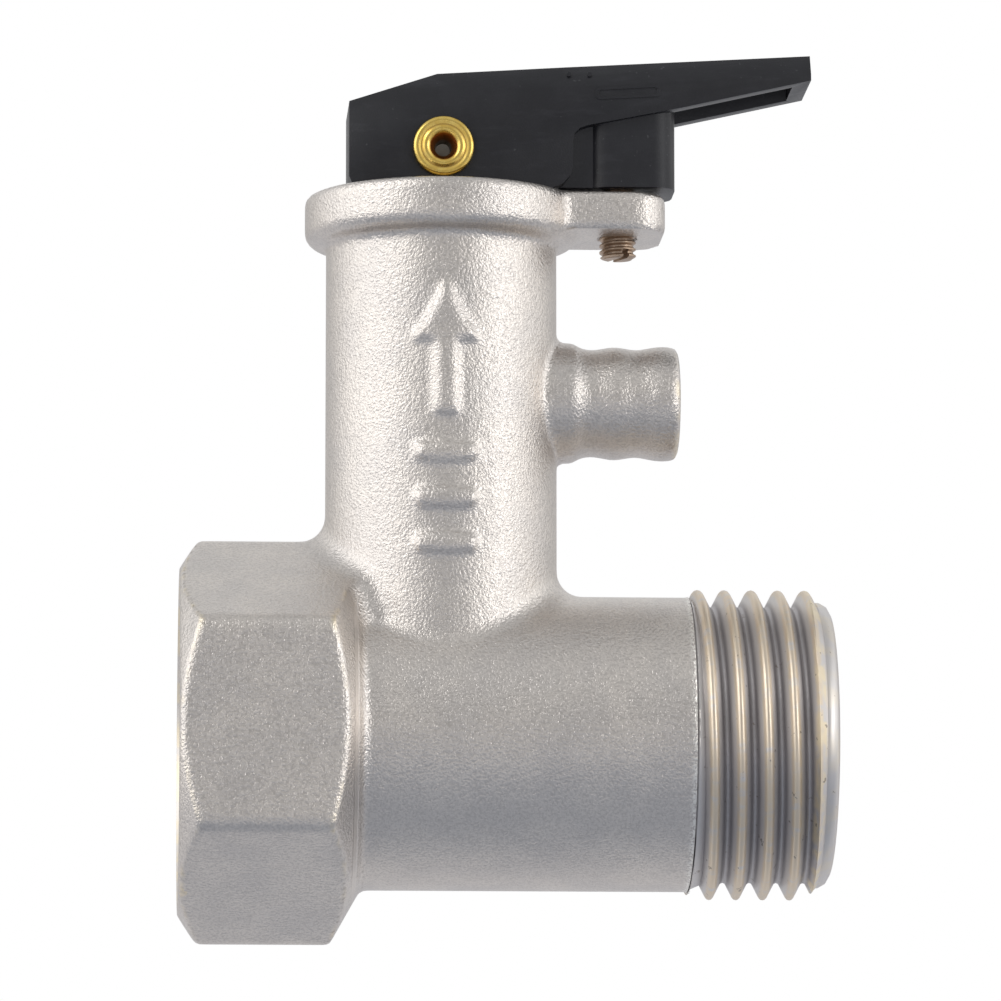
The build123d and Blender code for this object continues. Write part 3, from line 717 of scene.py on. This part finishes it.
# %% The lever's finish
def moulded_black():
    web, place = start_finish("moulded_black")
    fine = web.noise(place, 0.11, 2.0, 0.6)
    cloud = web.noise(place, 2.6, 4.0, 0.6)
    rubbed = web.noise(web.stretched(place, (0.35, 1.0, 1.4)), 0.9, 3.0, 0.65).rising(0.52, 0.72)
    speck = web.noise(place, 0.35, 2.0).rising(0.70, 0.76)
    colour = web.mix(cloud.rising(0.3, 0.7), (0.0075, 0.0075, 0.0105), (0.013, 0.013, 0.0165))
    colour = web.mix(rubbed * 0.5, colour, (0.023, 0.023, 0.028))
    colour = web.mix(speck * 0.5, colour, (0.07, 0.07, 0.075))
    roughness = 0.32 + fine * 0.12 - rubbed * 0.05
    normal = web.bump(fine * 0.5 + cloud * 0.5, 0.02)
    return end_finish(web, Base_Color=colour, Roughness=roughness, Normal=normal, Specular_IOR_Level=0.5)


black = moulded_black()
print("made", black.name)

# %% [markdown]
# ## The lever
# The lever is a channel: two cheeks straddle the stem's eye, a heel bears on the flange, and a long arm
# carries the thumb. Its side outline is drawn and extruded to the full width. The top is pulled up and
# narrowed, which makes the long bevels that run out at the heel. The channel is then cut from below, a foot
# and a thin frame are joined on, and a small bevel with three segments rounds every moulded edge.


# %% Lever shell
def at_lever(reach, height, side=0.0):
    """A place on the lever, from the tower's axis and the flange's top."""
    return Vector((tower_x + reach, side, tower_top + height))


half_width = 3.5
top_half_width = 2.6
heel_end = -6.4
tip_end = 25.05
bevel_drop = 1.45
bevel_foot = [(heel_end, 6.1), (-0.4, 6.77), (8.1, 7.3), (tip_end, 9.72 - bevel_drop)]
shell_outline = [
    (tip_end, 7.85), (16.1, 5.85), (9.9, 4.62), (9.3, 4.42), (8.93, 4.05), (8.8, 3.5), (8.8, 1.75),
    (8.62, 1.15), (8.1, 0.55), (7.3, 0.2), (6.9, 0.15), (heel_end + 0.8, 0.15), (heel_end + 0.24, 0.38),
    (heel_end, 0.95),
]
lever = slab(
    "lever_moulded", [at_lever(reach, height, -half_width) for reach, height in bevel_foot + shell_outline],
    (0, 2 * half_width, 0),
)
edit(lever)
pick(lever, "FACE", lambda face: face.normal.z > 0.9)
bpy.ops.mesh.extrude_region_move(TRANSFORM_OT_translate={"value": (0, 0, 0)})
bpy.ops.mesh.select_mode(type="VERT")
raised = bmesh.from_edit_mesh(lever.data)
for corner in raised.verts:
    if corner.select and corner.co.x < (tower_x + heel_end + 1) * MM:
        corner.select_set(False)
raised.select_flush_mode()
bmesh.update_edit_mesh(lever.data)
bpy.ops.transform.translate(value=(0, 0, bevel_drop * MM))
bpy.ops.transform.resize(value=(1, top_half_width / half_width, 1), center_override=(0, 0, 0))
leave_edit()
tidy_mesh(lever)
print("lever shell, closed", closed(lever))

# %% Channel, foot and holes
wall = 1.2
channel_outline = [
    (heel_end + wall, -0.5), (heel_end + wall, 4.95), (-0.4, 7.0), (8.1, 7.55), (tip_end - wall, 8.5),
    (tip_end - wall, -0.5),
]
channel_side = half_width - wall
channel = slab(
    "channel", [at_lever(reach, height, -channel_side) for reach, height in channel_outline],
    (0, 2 * channel_side, 0),
)
combine(lever, channel, "DIFFERENCE")


def rounded_rectangle(low, high, foot, top, rounding, steps):
    """(along, up) pairs round a rectangle whose corners are arcs of so many steps."""
    corners = []
    for along, up, start in (
        (high - rounding, top - rounding, 0), (low + rounding, top - rounding, 90),
        (low + rounding, foot + rounding, 180), (high - rounding, foot + rounding, 270),
    ):
        for step in range(steps + 1):
            angle = math.radians(start + 90 / steps * step)
            corners.append((along + rounding * math.cos(angle), up + rounding * math.sin(angle)))
    return corners


def standing_block(name, low, high, half, rounding):
    """A rounded block that stands over the lug, seen from above, and ends inside the arm."""
    plan = rounded_rectangle(low, high, -half, half, rounding, 4)
    return slab(name, [at_lever(reach, foot_gap, side) for reach, side in plan], (0, 0, block_height))


def side_block(name, low, high, foot, top, rounding, side, thickness):
    """A rounded block on the lever's side, which leans as the arm does."""
    outline = rounded_rectangle(low, high, foot, top, rounding, 3)
    leaning = [at_lever(reach, height + (reach - low) * arm_lean, side) for reach, height in outline]
    return slab(name, leaning, (0, thickness, 0))


foot_gap = 0.45
block_height = 7.55
arm_lean = 0.06
combine(lever, standing_block("neck", 7.6, 12.0, 2.5, 0.3), "UNION")
combine(lever, standing_block("foot", 9.8, 15.85, 3.0, 1.55), "UNION")
# a thin raised frame on the side, where a mould number would stand, and two ejector pips over it
pad = side_block("pad", 10.35, 14.75, 6.35, 7.2, 0.3, -half_width - 0.1, 1.5)
combine(pad, side_block("pad_hollow", 10.55, 14.55, 6.54, 7.01, 0.18, -half_width - 0.2, 0.24), "DIFFERENCE")
combine(lever, pad, "UNION")
pip_half = 0.16
for reach in (8.55, 9.95):
    pip = side_block("pip", reach - pip_half, reach + pip_half, 8.0, 8.32, 0.15, -half_width + 0.25, 1.0)
    combine(lever, pip, "UNION")
pivot_centre = Vector((tower_x, 0, pivot.z))
socket_centre = Vector((screw_x, 0, tower_top))
combine(lever, turned("socket", rod(0, 3.4, 1.6), ALONG_TOWER, socket_centre, 40), "DIFFERENCE")
combine(lever, turned("pivot_hole", rod(-5, 5, 1.25), ALONG_PIVOT, pivot_centre, 48), "DIFFERENCE")
edge_round = 0.26
apply_modifier(
    lever, "BEVEL", width=edge_round * MM, segments=3, limit_method="ANGLE", angle_limit=math.radians(32),
    use_clamp_overlap=True, miter_outer="MITER_ARC", harden_normals=False,
)
finish_piece(lever, black, "lever_assembly", ["lever"], 40)

# %% [markdown]
# ## Brass, steel, plastic and rubber
# The small parts share a few finishes. Both steels are one web with other numbers, and so are the rubbers
# and the white plastic. Turned brass and the rivet's polished brass have a web each, because the rivet has
# painted shade in its groove and down in its hole.


# %% Finishes for the small parts
def lathed_brass():
    """Yellow brass with turning marks and a few brown stains."""
    web, place = start_finish("turned_brass")
    cloud = web.noise(place, 0.9, 3.0, 0.6)
    mark = web.noise(web.stretched(place, (1.0, 1.0, 14.0)), 1.0, 2.0, 0.7)
    stain = web.noise(place, 0.45, 3.0, 0.7).rising(0.58, 0.74)
    colour = web.mix(cloud.rising(0.3, 0.7), (0.84, 0.66, 0.36), (0.72, 0.53, 0.25))
    colour = web.mix(stain * 0.45, colour, (0.32, 0.17, 0.05))
    roughness = 0.24 + cloud * 0.14 + stain * 0.12
    normal = web.bump(mark * 0.7 + cloud * 0.3, 0.018)
    return end_finish(web, Base_Color=colour, Metallic=1.0, Roughness=roughness, Normal=normal)


def steel(name, light, dark, smoothness):
    """Drawn wire, sheet or a small screw: dull metal with fine pits."""
    web, place = start_finish(name)
    cloud = web.noise(place, 1.1, 3.0, 0.6)
    pits = web.noise(place, 0.14, 2.0, 0.7)
    colour = web.mix(cloud.rising(0.3, 0.7), light, dark)
    colour = web.mix(pits.rising(0.60, 0.72) * 0.5, colour, (0.12, 0.10, 0.09))
    roughness = smoothness + pits * 0.18
    normal = web.bump(pits * 0.6 + cloud * 0.4, 0.012)
    return end_finish(web, Base_Color=colour, Metallic=1.0, Roughness=roughness, Normal=normal)


def soft_or_moulded(name, light, dark, smoothness, grain_size):
    """Rubber and white plastic: two close tones, a fine grain and a few lighter scuffs."""
    web, place = start_finish(name)
    cloud = web.noise(place, 1.6, 4.0, 0.6)
    fine = web.noise(place, grain_size, 2.0, 0.6)
    scuff = web.noise(place, 0.7, 3.0, 0.7).rising(0.62, 0.75)
    colour = web.mix(cloud.rising(0.3, 0.7), light, dark)
    colour = web.mix(scuff * 0.25, colour, (0.45, 0.44, 0.42))
    roughness = smoothness + fine * 0.12
    normal = web.bump(fine * 0.7 + cloud * 0.3, 0.015)
    return end_finish(web, Base_Color=colour, Roughness=roughness, Normal=normal)


def rolled_brass():
    """The rivet: brass polished by the press on its rings, with painted shade in its groove and down in its
    hole.
    """
    web, place = start_finish("polished_brass")
    x, _, z = web.split(place)
    from_pivot = ((x - pivot.x) * (x - pivot.x) + (z - pivot.z) * (z - pivot.z)) ** 0.5
    groove = from_pivot.rising(1.56, 1.50) * from_pivot.rising(1.38, 1.46)
    cloud = web.noise(place, 0.5, 3.0, 0.6)
    colour = web.mix(cloud.rising(0.3, 0.7), (0.90, 0.66, 0.19), (0.78, 0.52, 0.12))
    # painted shade: the groove between the rings is darkened brown
    colour = web.mix(groove * 0.6, colour, (0.38, 0.20, 0.05))
    # painted shade: darker brown down the hole, and grey at its bottom
    colour = web.mix(from_pivot.rising(1.02, 0.86), colour, (0.36, 0.16, 0.05))
    colour = web.mix(from_pivot.rising(0.60, 0.52), colour, (0.30, 0.28, 0.24))
    roughness = 0.20 + cloud * 0.16 + from_pivot.rising(0.9, 0.7) * 0.2
    normal = web.bump(cloud, 0.012)
    return end_finish(web, Base_Color=colour, Metallic=1.0, Roughness=roughness, Normal=normal)


polished_brass = rolled_brass()
turned_brass = lathed_brass()
stainless = steel("stainless_steel", (0.66, 0.66, 0.66), (0.54, 0.54, 0.55), 0.24)
bronzed = steel("bronzed_steel", (0.56, 0.43, 0.32), (0.42, 0.31, 0.23), 0.28)
white_plastic = soft_or_moulded("white_plastic", (0.80, 0.80, 0.77), (0.72, 0.72, 0.69), 0.34, 0.16)
black_rubber = soft_or_moulded("black_rubber", (0.018, 0.018, 0.018), (0.03, 0.03, 0.03), 0.55, 0.12)
red_rubber = soft_or_moulded("red_rubber", (0.34, 0.05, 0.035), (0.26, 0.04, 0.03), 0.55, 0.12)
print("seven finishes for the small parts")

# %% [markdown]
# ## The pivot rivet
# The lever turns on a tubular brass rivet. Its ends are rolled over by a press, which leaves a flat outer
# ring, a groove and a raised inner roll round a funnel-shaped hole. It is lathed from one outline, drawn for
# the near half and mirrored for the far one, so both heads are alike.

# %% Turn the rivet
head_face = rivet_high.y
head_back = head_face - 0.5
half_rivet = [
    (head_face - 2.3, 0), (head_face - 2.2, 0.5), (head_face - 1.1, 0.56), (head_face - 0.55, 0.68),
    (head_face - 0.2, 0.88), (head_face - 0.04, 1.06), (head_face, 1.2), (head_face - 0.04, 1.36),
    (head_face - 0.15, 1.48), (head_face - 0.15, 1.56), (head_face - 0.07, 1.68), (head_face - 0.06, 1.84),
    (head_face - 0.13, 2.0), (head_face - 0.26, 2.07), (head_face - 0.4, 2.06), (head_back, 1.95),
    (head_back, 1.2),
]
rivet_outline = half_rivet + [(-along, radius) for along, radius in reversed(half_rivet)]
rivet = turned("rivet_rolled", rivet_outline, ALONG_PIVOT, pivot_centre, 72)
finish_piece(rivet, polished_brass, "lever_assembly", ["pivot_rivet"], 50)

# %% [markdown]
# ## The lock screw
# A small slotted screw stands out under the lug. Its thread is a wound ridge joined to a turned core, and
# the slot is sawn across the lower end at the angle at which the driver left it.

# %% Thread and slot the screw
screw_radius = 1.25
screw_root = 1.06
screw_pitch = 0.45
screw_steps = 48
core_outline = [
    (screw_low.z, 0), (screw_low.z, 0.95), (screw_low.z + 0.16, screw_root),
    (screw_high.z - 0.15, screw_root), (screw_high.z, 0.9), (screw_high.z, 0),
]
screw = turned("lock_screw_threaded", core_outline, ALONG_TOWER, screw_foot, screw_steps)
root_half = 0.17
crest_half = 0.04
ridge_outline = [
    (-root_half, 1.0), (-root_half, screw_root), (-crest_half, screw_radius), (crest_half, screw_radius),
    (root_half, screw_root), (root_half, 1.0),
]
ridge_start = Vector((screw_x, 0, screw_low.z - 0.2))
screw_ridge = wound("screw_ridge", ridge_outline, ALONG_TOWER, ridge_start, screw_pitch, 12, screw_steps)
length_outline = [
    (screw_low.z + 0.05, 0.9), (screw_low.z + 0.05, 1.1), (screw_low.z + 0.2, screw_radius + 0.1),
    (screw_high.z - 0.2, screw_radius + 0.1), (screw_high.z - 0.05, 1.1), (screw_high.z - 0.05, 0.9),
]
screw_length = turned("screw_length", length_outline, ALONG_TOWER, screw_foot, screw_steps)
combine(screw_ridge, screw_length, "INTERSECT")
combine(screw, screw_ridge, "UNION")
slot_turn = math.radians(25)
slot_half_width = 0.22
slot_half_length = 2
across_slot = Vector((math.cos(slot_turn), math.sin(slot_turn), 0)) * slot_half_width
along_slot = Vector((-math.sin(slot_turn), math.cos(slot_turn), 0)) * slot_half_length
slot_corners = [
    Vector((screw_x, 0, screw_low.z - 0.5)) + across_slot * a + along_slot * b
    for a, b in ((-1, -1), (1, -1), (1, 1), (-1, 1))
]
combine(screw, slab("slot_saw", slot_corners, (0, 0, 1.1)), "DIFFERENCE")
finish_piece(screw, bronzed, "lock_screw", ["lock_screw"], 35)

# %% [markdown]
# ## Springs
# Both springs are wire wound round an axis, and each fills the length of its CAD spring. They shorten when
# their valve opens.


# %% Wind the springs
def spring(name, node, axis, mean, wire, turns, body):
    """A round wire between the two ends of a CAD spring. mean is the coil's radius, wire the wire's."""
    low, high = box_mm(node)
    start = low.dot(axis) + wire
    length = high.dot(axis) - low.dot(axis) - 2 * wire
    angles = [2 * math.pi * step / 12 for step in range(12)]
    ring = [(wire * math.sin(angle), mean + wire * math.cos(angle)) for angle in angles]
    middle_line = (low + high) / 2
    foot = middle_line - axis * middle_line.dot(axis) + axis * start
    piece = wound(name, ring, axis, foot, length / turns, turns, 40)
    finish_piece(piece, stainless, body, [node], 60)
    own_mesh(piece)


spring("relief_spring_wound", "relief_spring", ALONG_TOWER, 3.9, 0.55, 5, "valve")
spring("check_spring_wound", "check_spring", ALONG_RUN, 2.7, 0.25, 4, "valve")

# %% [markdown]
# ## Finishes for the CAD nodes that stay
# The parts inside are right as the CAD has them: rings, discs and pins. Each keeps its mesh and takes the
# finish of its material.

# %% Dress the CAD nodes
node_finishes = {
    "adjusting_bush": turned_brass,
    "stem": turned_brass,
    "disc_holder": turned_brass,
    "disc_washer": stainless,
    "disc_screw": stainless,
    "spring_washer": stainless,
    "check_retainer": stainless,
    "check_guide": white_plastic,
    "check_seat": white_plastic,
    "check_poppet": white_plastic,
    "stem_o_ring": black_rubber,
    "check_o_ring": black_rubber,
    "poppet_seal": black_rubber,
    "seat_disc": red_rubber,
}
for node, finish in node_finishes.items():
    frame["nodes"][node].data.materials.clear()
    frame["nodes"][node].data.materials.append(finish)
print("dressed", len(node_finishes), "CAD nodes")
